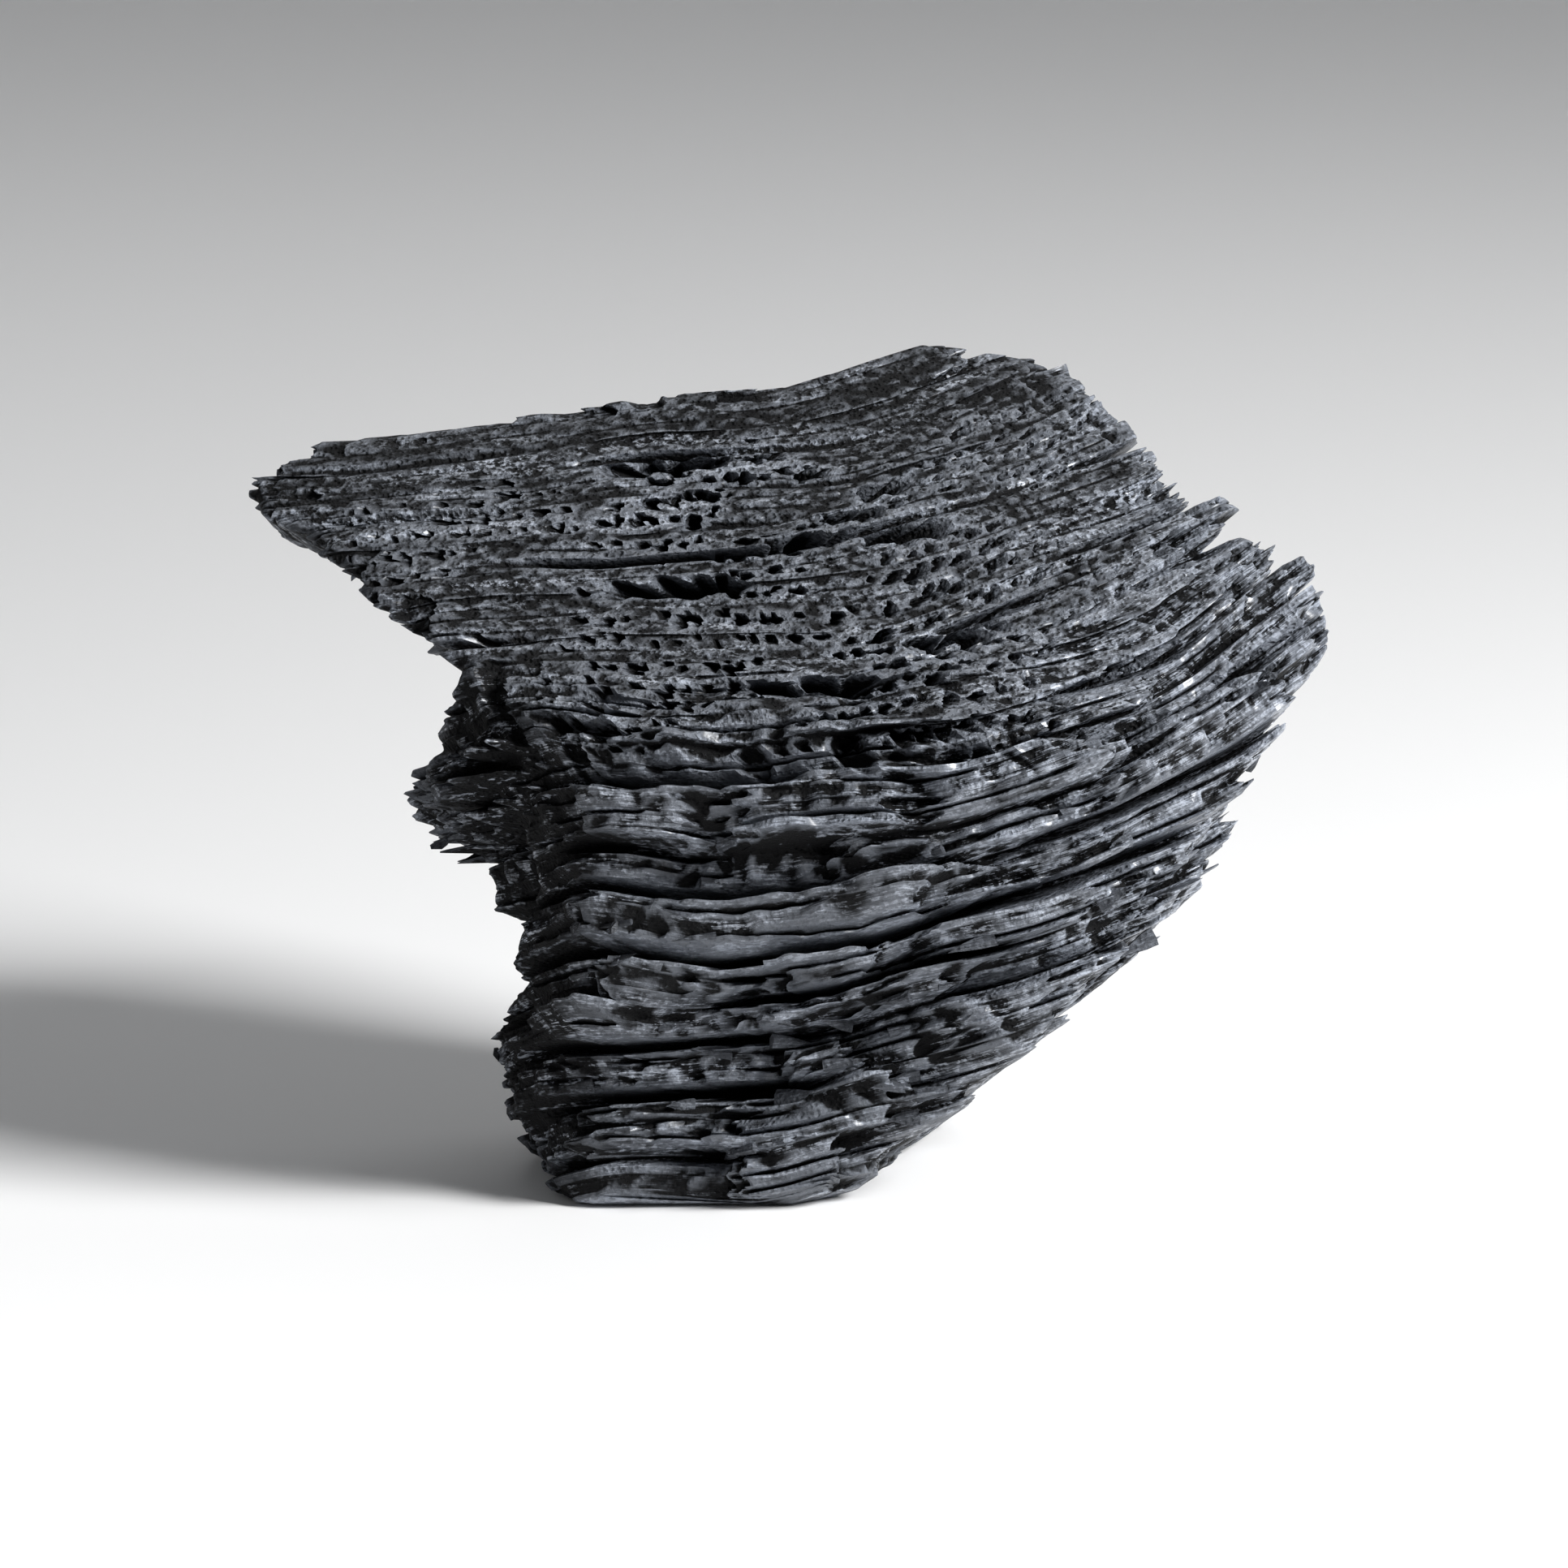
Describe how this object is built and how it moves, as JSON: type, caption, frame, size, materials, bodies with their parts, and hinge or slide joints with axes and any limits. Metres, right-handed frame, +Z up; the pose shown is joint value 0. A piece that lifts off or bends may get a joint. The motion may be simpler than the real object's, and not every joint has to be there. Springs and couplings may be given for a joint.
{
  "type": "charcoal lump",
  "caption": "Wedge-shaped lump of hardwood charcoal: broad slanting end-grain top, flaky layered sides, narrow flat foot.",
  "frame": {"origin": "bottom centre of the lump's bounding box, on the surface that it stands on", "axes": "+X to the right along the lump's longest extent, +Y away from the flaky front, +Z up"},
  "size_m": [0.1061, 0.0782, 0.0783],
  "materials": {
    "charcoal": "charred, nearly black, with a dull blue-grey satin sheen"
  },
  "bodies": {
    "root": {"charcoal_lump": "charcoal"}
  },
  "joints": []
}
